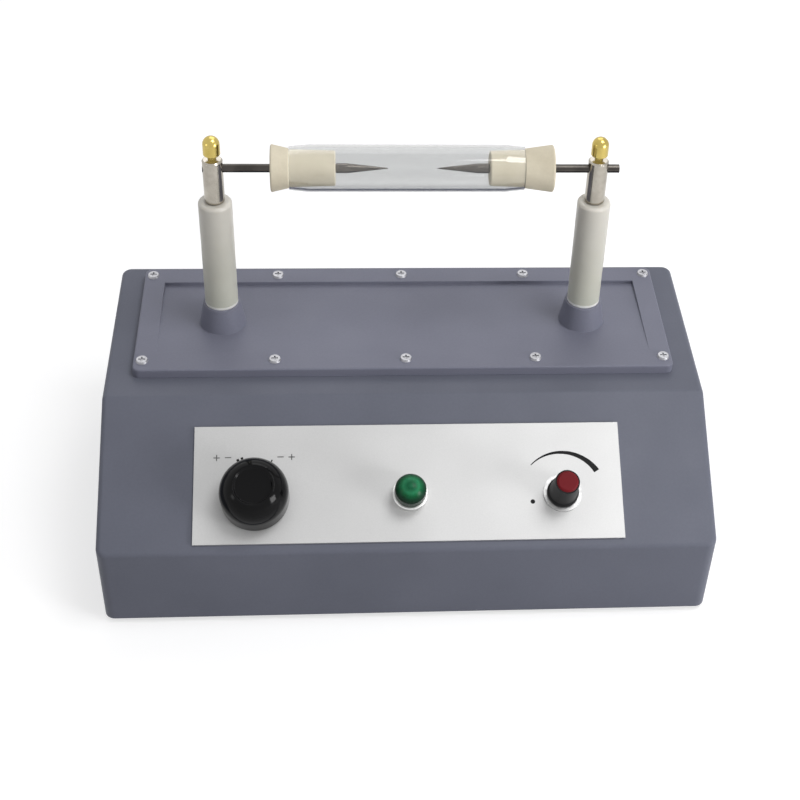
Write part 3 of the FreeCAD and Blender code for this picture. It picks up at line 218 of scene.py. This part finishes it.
# Where the surface is on the piece; fineness makes the pattern finer or, below 1, longer along an axis
def objectPlace(tree, fineness=(1, 1, 1), centre=(0, 0, 0), turn=(0, 0, 0)):
    coordinates = newNode(tree, "ShaderNodeTexCoord")
    mapping = newNode(tree, "ShaderNodeMapping", vector_type="TEXTURE")
    mapping.inputs["Location"].default_value = centre
    mapping.inputs["Rotation"].default_value = turn
    mapping.inputs["Scale"].default_value = [1 / each for each in fineness]
    tree.links.new(coordinates.outputs["Object"], mapping.inputs["Vector"])
    return mapping.outputs["Vector"]


def noise(tree, place, perMetre, detail=3.0, roughness=0.55):
    pattern = newNode(tree, "ShaderNodeTexNoise")
    pattern.inputs["Scale"].default_value = perMetre
    pattern.inputs["Detail"].default_value = detail
    pattern.inputs["Roughness"].default_value = roughness
    tree.links.new(place, pattern.inputs["Vector"])
    return pattern.outputs["Fac"]


def ramp(tree, value, stops):
    colours = newNode(tree, "ShaderNodeValToRGB")
    elements = colours.color_ramp.elements
    while len(elements) < len(stops):
        elements.new(0.5)
    for element, (position, colour) in zip(elements, stops):
        element.position = position
        element.color = (*colour, 1)
    tree.links.new(value, colours.inputs["Fac"])
    return colours.outputs["Color"]


# From the first colour to the second as the value goes from start to end
def between(tree, value, first, second, start=0.3, end=0.7):
    return ramp(tree, value, [(start, first), (end, second)])


def bump(tree, height, distance, strength, normal=None):
    relief = newNode(tree, "ShaderNodeBump")
    relief.inputs["Distance"].default_value = distance
    relief.inputs["Strength"].default_value = strength
    tree.links.new(height, relief.inputs["Height"])
    if normal:
        tree.links.new(normal, relief.inputs["Normal"])
    return relief.outputs["Normal"]


def softEdge(tree, radius):
    bevel = newNode(tree, "ShaderNodeBevel", samples=4)
    bevel.inputs["Radius"].default_value = radius
    return bevel.outputs["Normal"]


# How far a softened edge turns from the flat face: nought on a face, rising on an edge
def edgeWear(tree, softened):
    geometry = newNode(tree, "ShaderNodeNewGeometry")
    product = newNode(tree, "ShaderNodeVectorMath", operation="DOT_PRODUCT")
    tree.links.new(softened, product.inputs[0])
    tree.links.new(geometry.outputs["Normal"], product.inputs[1])
    return between(tree, product.outputs["Value"], grey(1), grey(0), start=0.86, end=0.985)


# Moulded plastic: slow colour drift, fine speckle, scuffed gloss, a grained skin and worn edges
mouldedSkin = {
    "driftScale": 18.0,
    "speckle": 0.5,
    "speckleScale": 900.0,
    "speckleShade": 0.93,
    "edge": 0.0004,
    "wear": 0.25,
    "scuffScale": 55.0,
    "polished": -0.06,
    "scuffed": 0.08,
    "grain": 0.5,
    "grainScale": 1400.0,
    "grainDepth": 0.00005,
    "waves": 0.12,
    "waveScale": 40.0,
    "waveDepth": 0.0004,
}


def mouldedPlastic(name, ownValues):
    values = {**mouldedSkin, **ownValues}
    material, tree, shader = newFinish(name)
    place = objectPlace(tree)
    drift = noise(tree, place, values["driftScale"], detail=2.0)
    colour = between(tree, drift, values["dark"], values["light"])
    speckle = noise(tree, place, values["speckleScale"], detail=2.0)
    speckle = between(tree, speckle, grey(values["speckleShade"]), grey(1), start=0.35, end=0.65)
    colour = mixed(tree, values["speckle"], colour, speckle, "MULTIPLY")
    softened = softEdge(tree, values["edge"])
    wear = plainMath(tree, "MULTIPLY", edgeWear(tree, softened), values["wear"])
    colour = mixed(tree, wear, colour, values["worn"])
    tree.links.new(colour, shader.inputs["Base Color"])
    scuff = noise(tree, place, values["scuffScale"], detail=6.0, roughness=0.7)
    polished = grey(values["rough"] + values["polished"])
    scuffed = grey(values["rough"] + values["scuffed"])
    tree.links.new(between(tree, scuff, polished, scuffed, end=0.75), shader.inputs["Roughness"])
    waves = noise(tree, place, values["waveScale"], detail=2.0)
    normal = bump(tree, waves, values["waveDepth"], values["waves"], softened)
    grain = noise(tree, place, values["grainScale"], roughness=0.6)
    normal = bump(tree, grain, values["grainDepth"], values["grain"], normal)
    tree.links.new(normal, shader.inputs["Normal"])
    shader.inputs["Specular IOR Level"].default_value = values["specular"]
    return material


# Bare metal: streaks that vary the gloss, darker and lighter patches, and softened edges
bareSkin = {
    "fineness": (1, 1, 1),
    "streakScale": 700.0,
    "streakDepth": 0.00002,
    "streaks": 0.35,
    "patchScale": 120.0,
    "polished": 0.7,
    "dulled": 1.35,
    "edge": 0.00015,
}
alongX = (0.1, 1, 1)
alongZ = (1, 1, 0.1)


def bareMetal(name, ownValues):
    values = {**bareSkin, **ownValues}
    material, tree, shader = newFinish(name)
    patches = noise(tree, objectPlace(tree), values["patchScale"])
    colour = between(tree, patches, values["dark"], values["light"])
    tree.links.new(colour, shader.inputs["Base Color"])
    place = objectPlace(tree, values["fineness"])
    streaks = noise(tree, place, values["streakScale"], detail=4.0, roughness=0.65)
    polished = grey(values["rough"] * values["polished"])
    dulled = grey(values["rough"] * values["dulled"])
    gloss = between(tree, streaks, polished, dulled, start=0.25, end=0.8)
    tree.links.new(gloss, shader.inputs["Roughness"])
    softened = softEdge(tree, values["edge"])
    normal = bump(tree, streaks, values["streakDepth"], values["streaks"], softened)
    tree.links.new(normal, shader.inputs["Normal"])
    shader.inputs["Metallic"].default_value = 1.0
    return material


# The case's own grey plastic, made darker than the lid's: painted shade for the slope and front, which take
# less light
housingGreyWithPaintedShade = {
    "dark": (0.134, 0.142, 0.179),
    "light": (0.152, 0.160, 0.201),
    "worn": (0.25, 0.26, 0.31),
    "rough": 0.42,
    "edge": 0.0008,
    "wear": 0.25,
    "grain": 0.45,
    "specular": 0.12,
}
lidGrey = {
    "dark": (0.176, 0.181, 0.233),
    "light": (0.200, 0.206, 0.262),
    "worn": (0.29, 0.30, 0.37),
    "rough": 0.44,
    "edge": 0.0006,
    "wear": 0.25,
    "grain": 0.45,
    "specular": 0.2,
}
glossBlack = {
    "dark": (0.0025, 0.0025, 0.003),
    "light": (0.005, 0.005, 0.0055),
    "worn": (0.02, 0.02, 0.022),
    "rough": 0.12,
    "edge": 0.0005,
    "wear": 0.2,
    "grain": 0.06,
    "waves": 0.05,
    "speckle": 0.1,
    "specular": 0.1,
}
mattBlack = {
    "dark": (0.005, 0.005, 0.0055),
    "light": (0.010, 0.010, 0.011),
    "worn": (0.04, 0.04, 0.042),
    "rough": 0.42,
    "edge": 0.0003,
    "wear": 0.3,
    "grain": 0.5,
    "specular": 0.15,
}
capRed = {
    "dark": (0.13, 0.009, 0.013),
    "light": (0.21, 0.015, 0.021),
    "worn": (0.10, 0.010, 0.012),
    "rough": 0.50,
    "edge": 0.0004,
    "wear": 0.5,
    "grain": 0.5,
    "specular": 0.1,
}
stopperCream = {
    "dark": (0.64, 0.575, 0.44),
    "light": (0.76, 0.695, 0.55),
    "worn": (0.82, 0.77, 0.65),
    "rough": 0.68,
    "edge": 0.0006,
    "wear": 0.4,
    "grain": 0.8,
    "grainScale": 800.0,
    "driftScale": 60.0,
    "specular": 0.3,
}
boardGreen = {
    **mattBlack,
    "dark": (0.01, 0.05, 0.02),
    "light": (0.015, 0.075, 0.03),
    "worn": (0.05, 0.13, 0.06),
}
leadSleeve = {
    **mattBlack,
    "dark": (0.25, 0.02, 0.02),
    "light": (0.32, 0.03, 0.03),
    "worn": (0.4, 0.1, 0.1),
}
rubberBlack = {
    **mattBlack,
    "rough": 0.75,
    "grain": 0.8,
}
nickel = {
    "dark": (0.32, 0.295, 0.255),
    "light": (0.47, 0.44, 0.385),
    "rough": 0.15,
    "fineness": alongZ,
}
bezelNickel = {
    "dark": (0.62, 0.62, 0.61),
    "light": (0.74, 0.74, 0.73),
    "rough": 0.40,
}
washerSteel = {
    "dark": (0.40, 0.40, 0.40),
    "light": (0.50, 0.50, 0.50),
    "rough": 0.45,
}
screwSteel = {
    "dark": (0.34, 0.34, 0.36),
    "light": (0.46, 0.46, 0.48),
    "rough": 0.50,
}
rodSteel = {
    "dark": (0.050, 0.046, 0.042),
    "light": (0.085, 0.078, 0.070),
    "rough": 0.17,
    "fineness": alongX,
}
tipSteel = {
    "dark": (0.15, 0.135, 0.12),
    "light": (0.21, 0.19, 0.17),
    "rough": 0.17,
    "fineness": alongX,
}
steel = {
    "dark": (0.36, 0.36, 0.37),
    "light": (0.48, 0.48, 0.49),
    "rough": 0.24,
    "fineness": alongX,
}
brass = {
    "dark": (0.47, 0.36, 0.10),
    "light": (0.62, 0.49, 0.16),
    "rough": 0.22,
    "fineness": alongZ,
}
copperWire = {
    "dark": (0.35, 0.12, 0.04),
    "light": (0.45, 0.17, 0.06),
    "rough": 0.35,
    "fineness": (8, 1, 1),
}
iron = {
    "dark": (0.12, 0.12, 0.12),
    "light": (0.18, 0.18, 0.18),
    "rough": 0.5,
}
sinkAluminium = {
    "dark": (0.06, 0.06, 0.07),
    "light": (0.09, 0.09, 0.10),
    "rough": 0.45,
}

# Control plate: pale matt silver with a fine even grain
panelSilver = {
    "dark": grey(0.50),
    "light": grey(0.58),
    "driftScale": 14.0,
    "grain": 0.6,
    "grainScale": 1500.0,
    "grainShade": 0.86,
    "grainDepth": 0.00003,
    "grainBump": 0.5,
    "edge": 0.0002,
    "gloss": (0.38, 0.52),
    "metallic": 0.35,
}


def platedSilver():
    values = panelSilver
    material, tree, shader = newFinish("panelSilver")
    place = objectPlace(tree)
    drift = noise(tree, place, values["driftScale"], detail=2.0)
    colour = between(tree, drift, values["dark"], values["light"])
    grain = noise(tree, place, values["grainScale"], detail=4.0, roughness=0.7)
    shade = between(tree, grain, grey(values["grainShade"]), grey(1))
    tree.links.new(mixed(tree, values["grain"], colour, shade, "MULTIPLY"), shader.inputs["Base Color"])
    softened = softEdge(tree, values["edge"])
    normal = bump(tree, grain, values["grainDepth"], values["grainBump"], softened)
    tree.links.new(normal, shader.inputs["Normal"])
    gloss = between(tree, grain, *map(grey, values["gloss"]))
    tree.links.new(gloss, shader.inputs["Roughness"])
    shader.inputs["Metallic"].default_value = values["metallic"]
    return material


# Insulating columns: milky plastic that lets light in, with a pale rim at the foot that is a painted glow,
# greenish grey above it, and lighter and warmer towards the top
milky = {
    "footGlowAndColourByHeight": [
        # The two palest stops at the foot are a painted glow; above them is the column's colour, lighter
        # and warmer towards the top
        (0.0, (0.96, 0.95, 0.91)),
        (0.020, (0.95, 0.94, 0.89)),
        (0.028, (0.57, 0.575, 0.50)),
        (0.45, (0.59, 0.58, 0.515)),
        (1.0, (0.66, 0.635, 0.58)),
    ],
    "cloud": 0.5,
    "cloudScale": 90.0,
    "cloudShade": 0.92,
    "gloss": (0.28, 0.40),
    "turning": 0.3,
    "turningScale": 900.0,
    "turningFineness": (0.2, 0.2, 3.0),
    "turningDepth": 0.00004,
    "edge": 0.0006,
    "lightInside": 0.55,
    "lightColour": (1.0, 0.95, 0.85),
    "lightReach": 0.004,
}


def milkyPlastic():
    material, tree, shader = newFinish("milkyPlastic")
    coordinates = newNode(tree, "ShaderNodeTexCoord")
    parts = newNode(tree, "ShaderNodeSeparateXYZ")
    tree.links.new(coordinates.outputs["Object"], parts.inputs["Vector"])
    foot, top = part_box("left_insulator")
    rise = spread(tree, parts.outputs["Z"], foot.z, top.z)
    colour = ramp(tree, rise, milky["footGlowAndColourByHeight"])
    cloud = noise(tree, objectPlace(tree), milky["cloudScale"])
    shade = between(tree, cloud, grey(milky["cloudShade"]), grey(1))
    tree.links.new(mixed(tree, milky["cloud"], colour, shade, "MULTIPLY"), shader.inputs["Base Color"])
    gloss = between(tree, cloud, *map(grey, milky["gloss"]))
    tree.links.new(gloss, shader.inputs["Roughness"])
    turned = objectPlace(tree, milky["turningFineness"])
    turning = noise(tree, turned, milky["turningScale"], detail=2.0)
    softened = softEdge(tree, milky["edge"])
    normal = bump(tree, turning, milky["turningDepth"], milky["turning"], softened)
    tree.links.new(normal, shader.inputs["Normal"])
    shader.inputs["Subsurface Weight"].default_value = milky["lightInside"]
    shader.inputs["Subsurface Radius"].default_value = milky["lightColour"]
    shader.inputs["Subsurface Scale"].default_value = milky["lightReach"]
    return material


# Clear glass with faint drawn streaks along the tube. Lamplight goes straight through it, so that the
# stoppers inside are lit as those outside are
glass = {
    "dark": (0.715, 0.72, 0.72),
    "light": (0.735, 0.74, 0.74),
    "streaks": 0.02,
    "streakScale": 260.0,
    "streakFineness": (0.06, 1, 1),
    "streakDepth": 0.00005,
    "gloss": (0.02, 0.06),
    "refraction": 1.47,
    "lampShare": 0.88,
}


def clearGlass():
    material, tree, shader = newFinish("clearGlass")
    streaks = noise(tree, objectPlace(tree, glass["streakFineness"]), glass["streakScale"])
    normal = bump(tree, streaks, glass["streakDepth"], glass["streaks"])
    tree.links.new(normal, shader.inputs["Normal"])
    tint = between(tree, streaks, glass["dark"], glass["light"])
    tree.links.new(tint, shader.inputs["Base Color"])
    gloss = between(tree, streaks, *map(grey, glass["gloss"]), end=0.8)
    tree.links.new(gloss, shader.inputs["Roughness"])
    shader.inputs["Transmission Weight"].default_value = 1.0
    shader.inputs["IOR"].default_value = glass["refraction"]
    path = newNode(tree, "ShaderNodeLightPath")
    clear = newNode(tree, "ShaderNodeBsdfTransparent")
    plug(tree, grey(glass["lampShare"]), clear.inputs["Color"])
    choice = newNode(tree, "ShaderNodeMixShader")
    tree.links.new(path.outputs["Is Shadow Ray"], choice.inputs["Fac"])
    tree.links.new(shader.outputs["BSDF"], choice.inputs[1])
    tree.links.new(clear.outputs["BSDF"], choice.inputs[2])
    tree.links.new(choice.outputs["Shader"], tree.nodes["Material Output"].inputs["Surface"])
    return material


# The sloping panel, which the lens and the printed marks lie along
panel = {
    "slope": 29.7,
    "foldHeight": 0.047,
    "plateThick": 0.0012,
    "spacing": 0.072,  # from the lamp to each knob
    "line": 0.0264,  # up the slope, to the middle of the knobs
}

# Green lamp lens with light and shade painted by radius: darker from its middle outwards, then a painted
# bright ring, then painted shade darkening to the rim
lens = {
    "radius": 0.0073,
    "greenAndPaintedLightByRadius": [
        (0.0, (0.010, 0.15, 0.060)),
        (0.22, (0.006, 0.10, 0.040)),
        (0.50, (0.025, 0.22, 0.095)),
        (0.66, (0.006, 0.12, 0.042)),
        (0.86, (0.003, 0.045, 0.018)),
        (1.0, (0.001, 0.020, 0.008)),
    ],
    "mottle": 0.4,
    "mottleScale": 500.0,
    "mottleShade": 0.8,
    "mottleDepth": 0.00003,
    "mottleBump": 0.2,
    "edge": 0.0004,
    "gloss": (0.24, 0.34),
    "specular": 0.12,
    "lightInside": 0.15,
    "lightReach": 0.002,
}


def greenLens():
    material, tree, shader = newFinish("greenLens")
    low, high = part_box("lamp_lens")
    middle = (low + high) / 2
    place = objectPlace(tree, centre=tuple(middle), turn=(math.radians(panel["slope"]), 0, 0))
    flat = newNode(tree, "ShaderNodeVectorMath", operation="MULTIPLY")
    flat.inputs[1].default_value = (1, 1, 0)
    tree.links.new(place, flat.inputs[0])
    span = newNode(tree, "ShaderNodeVectorMath", operation="LENGTH")
    tree.links.new(flat.outputs["Vector"], span.inputs[0])
    # The lens green, with its painted bright ring and painted shade towards the rim
    colour = ramp(tree, spread(tree, span.outputs["Value"], 0, lens["radius"]), lens["greenAndPaintedLightByRadius"])
    mottle = noise(tree, objectPlace(tree), lens["mottleScale"], detail=2.0)
    shade = between(tree, mottle, grey(lens["mottleShade"]), grey(1))
    tree.links.new(mixed(tree, lens["mottle"], colour, shade, "MULTIPLY"), shader.inputs["Base Color"])
    softened = softEdge(tree, lens["edge"])
    normal = bump(tree, mottle, lens["mottleDepth"], lens["mottleBump"], softened)
    tree.links.new(normal, shader.inputs["Normal"])
    gloss = between(tree, mottle, *map(grey, lens["gloss"]))
    tree.links.new(gloss, shader.inputs["Roughness"])
    shader.inputs["Specular IOR Level"].default_value = lens["specular"]
    shader.inputs["Subsurface Weight"].default_value = lens["lightInside"]
    shader.inputs["Subsurface Scale"].default_value = lens["lightReach"]
    return material


# The finish for each material slot of the record, and for the pieces that differ from their slot
finishes = {
    # The case's darker grey carries painted shade
    "case_grey": mouldedPlastic("housingGreyWithPaintedShade", housingGreyWithPaintedShade),
    "lid_grey": mouldedPlastic("lidGrey", lidGrey),
    "black_plastic": mouldedPlastic("glossBlack", glossBlack),
    "black_matte": mouldedPlastic("mattBlack", mattBlack),
    "red_cap": mouldedPlastic("capRed", capRed),
    "rubber_cream": mouldedPlastic("stopperCream", stopperCream),
    "rubber_black": mouldedPlastic("rubberBlack", rubberBlack),
    "board_green": mouldedPlastic("boardGreen", boardGreen),
    "lead_sleeve": mouldedPlastic("leadSleeve", leadSleeve),
    "nickel": bareMetal("nickel", nickel),
    "steel": bareMetal("steel", steel),
    "brass": bareMetal("brass", brass),
    "copper_wire": bareMetal("copperWire", copperWire),
    "iron": bareMetal("iron", iron),
    "sink_aluminium": bareMetal("sinkAluminium", sinkAluminium),
    "panel_silver": platedSilver(),
    "milky_plastic": milkyPlastic(),
    "clear_glass": clearGlass(),
    "green_lens": greenLens(),
}
rodFinish = bareMetal("rodSteel", rodSteel)
tipFinish = bareMetal("tipSteel", tipSteel)
ownFinishes = {
    "left_rod": rodFinish,
    "right_rod": rodFinish,
    "left_tip": tipFinish,
    "right_tip": tipFinish,
    "adjuster_nut": bareMetal("washerSteel", washerSteel),
    "lid_screws": bareMetal("screwSteel", screwSteel),
    "lamp_bezel": bareMetal("bezelNickel", bezelNickel),
}


def dressNodes():
    for part in frame["record"]["subparts"]:
        finish = ownFinishes.get(part["node"], finishes[part["material_slot"]])
        for place in nodes[part["node"]].material_slots:
            place.material = finish


dressNodes()
print("finishes on", len(nodes), "nodes")

# Handling of the new pieces


def deselectAll():
    for chosen in bpy.context.selected_objects:
        chosen.select_set(False)


def applyPlace(piece):
    deselectAll()
    piece.select_set(True)
    bpy.context.view_layer.objects.active = piece
    bpy.ops.object.transform_apply(location=True, rotation=True, scale=True)


# Bevels all edges of the piece in hand
def bevelEdges(width):
    bpy.ops.object.mode_set(mode="EDIT")
    bpy.ops.mesh.select_all(action="SELECT")
    bpy.ops.mesh.bevel(offset=width, segments=2)
    bpy.ops.object.mode_set(mode="OBJECT")


# Takes a piece from its own flat drawing to a place on the slope: x across, up the slope, out of it
def layOnSlope(piece, x, up, out):
    slope = math.radians(panel["slope"])
    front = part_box("housing")[0].y
    place = Vector((x, front + up * math.cos(slope) - out * math.sin(slope),
                    panel["foldHeight"] + up * math.sin(slope) + out * math.cos(slope)))
    piece.matrix_world = Matrix.Translation(place) @ Matrix.Rotation(slope, 4, "X") @ piece.matrix_world
    applyPlace(piece)


# Printed marks on the control plate, as thin raised ink

ink = {
    **mattBlack,
    "rough": 0.6,
    "grain": 0.2,
    "edge": 0.00002,
    "wear": 0.1,
    "specular": 0.15,
}
paleInk = {
    **ink,
    "dark": grey(0.14),
    "light": grey(0.22),
    "worn": grey(0.3),
}
inkFinish = mouldedPlastic("printInk", ink)
paleInkFinish = mouldedPlastic("paleInk", paleInk)
inkLayer = {
    "thick": 0.00006,
    "bevel": 0.3,  # as a share of the thickness
}
signs = {
    "length": 0.0030,
    "width": 0.00050,
    "bars": {  # across, up the slope, turn in degrees
        "leftPlusAcross": (-0.0900, 0.0459, 0),
        "leftPlusUp": (-0.0900, 0.0459, 90),
        "leftMinus": (-0.0847, 0.0460, 0),
        "rightMinus": (-0.0603, 0.0460, 0),
        "rightPlusAcross": (-0.0551, 0.0459, 0),
        "rightPlusUp": (-0.0551, 0.0459, 90),
    },
}
rightTick = {
    "length": 0.0036,
    "width": 0.00060,
    "place": (-0.0649, 0.0430, 66),
}
offDot = {
    "radius": 0.0011,
    "sides": 32,
    "x": 0.0577,
    "up": 0.0224,
}
voltageScale = {
    "radius": 0.0200,
    "start": -46.0,  # degrees, clockwise from straight up the slope
    "end": 58.0,
    "thin": 0.0004,
    "thick": 0.0028,
    "steps": 48,
    "mergeReach": 0.000001,
}


# Bevels the ink, turns it and lays it on the plate
def layInk(mark, x, up, angle=0):
    bevelEdges(inkLayer["thick"] * inkLayer["bevel"])
    mark.matrix_world = Matrix.Rotation(math.radians(angle), 4, "Z")
    layOnSlope(mark, x, up, panel["plateThick"] + inkLayer["thick"] / 2)


def drawBar(name, values, place, finish):
    deselectAll()
    bpy.ops.mesh.primitive_cube_add(size=1)
    bar = bpy.context.object
    bar.name = name
    bar.scale = (values["length"], values["width"], inkLayer["thick"])
    bar.data.materials.append(finish)
    applyPlace(bar)
    layInk(bar, *place)
    return bar


def drawDot():
    deselectAll()
    bpy.ops.mesh.primitive_cylinder_add(vertices=offDot["sides"], radius=offDot["radius"],
                                        depth=inkLayer["thick"])
    dot = bpy.context.object
    dot.name = "offDot"
    dot.data.materials.append(inkFinish)
    layInk(dot, offDot["x"], offDot["up"])
    return dot


# The scale round the voltage knob: a short edge spun into a band, which is narrowed towards its start
# and then given its thickness
def drawScale():
    radius = voltageScale["radius"]
    halfWidth = voltageScale["thick"] / 2
    start = math.radians(90 - voltageScale["start"])
    sweep = math.radians(voltageScale["end"] - voltageScale["start"])
    deselectAll()
    bpy.ops.mesh.primitive_plane_add(size=1)
    band = bpy.context.object
    band.name = "voltageScale"
    band.data.materials.append(inkFinish)
    bpy.ops.object.mode_set(mode="EDIT")
    mesh = bmesh.from_edit_mesh(band.data)
    bmesh.ops.delete(mesh, geom=list(mesh.faces), context="FACES")
    outward = Vector((math.cos(start), math.sin(start), 0))
    inner = mesh.verts.new(outward * (radius - halfWidth))
    outer = mesh.verts.new(outward * (radius + halfWidth))
    for drawn in (inner, outer, mesh.edges.new((inner, outer))):
        drawn.select = True
    bmesh.update_edit_mesh(band.data)
    bpy.ops.mesh.spin(steps=voltageScale["steps"], angle=sweep, center=(0, 0, 0), axis=(0, 0, 1))
    mesh = bmesh.from_edit_mesh(band.data)
    for vertex in mesh.verts:
        turned = start - math.atan2(vertex.co.y, vertex.co.x)
        width = voltageScale["thin"] + (voltageScale["thick"] - voltageScale["thin"]) * turned / sweep
        side = 1 if vertex.co.length > radius else -1
        vertex.co = vertex.co.normalized() * (radius + side * width / 2)
    bmesh.update_edit_mesh(band.data)
    bpy.ops.mesh.select_all(action="SELECT")
    bpy.ops.mesh.extrude_region_move(TRANSFORM_OT_translate={"value": (0, 0, inkLayer["thick"])})
    bpy.ops.mesh.select_all(action="SELECT")
    bpy.ops.mesh.remove_doubles(threshold=voltageScale["mergeReach"])
    bpy.ops.mesh.normals_make_consistent(inside=False)
    bpy.ops.object.mode_set(mode="OBJECT")
    layOnSlope(band, panel["spacing"], panel["line"], panel["plateThick"])
    return band


def drawMarks():
    made = [drawBar(name, signs, place, paleInkFinish) for name, place in signs["bars"].items()]
    made.append(drawBar("rightTick", rightTick, rightTick["place"], inkFinish))
    made.append(drawDot())
    made.append(drawScale())
    for piece in made:
        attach(piece, "case")


drawMarks()
print("panel marks drawn")

# White line let into the pointer of the polarity knob

paint = {
    **ink,
    "dark": grey(0.62),
    "light": grey(0.74),
    "worn": grey(0.8),
    "specular": 0.4,
}
pointer = {
    "angle": 22.5,
    "width": 0.0009,
    "inner": 0.0158,
    "outer": 0.01786,
    "low": 0.0021,
    "high": 0.01026,
    "edge": 0.00006,
}


def addPointerLine():
    deselectAll()
    bpy.ops.mesh.primitive_cube_add(size=1)
    line = bpy.context.object
    line.name = "pointerLine"
    line.scale = (pointer["width"], pointer["outer"] - pointer["inner"], pointer["high"] - pointer["low"])
    line.location = (0, (pointer["outer"] + pointer["inner"]) / 2, (pointer["high"] + pointer["low"]) / 2)
    line.data.materials.append(mouldedPlastic("pointerWhite", paint))
    applyPlace(line)
    bevelEdges(pointer["edge"])
    line.matrix_world = Matrix.Rotation(math.radians(pointer["angle"]), 4, "Z")
    layOnSlope(line, -panel["spacing"], panel["line"], 0)
    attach(line, "polarity_knob")


addPointerLine()
print("pointer line added")
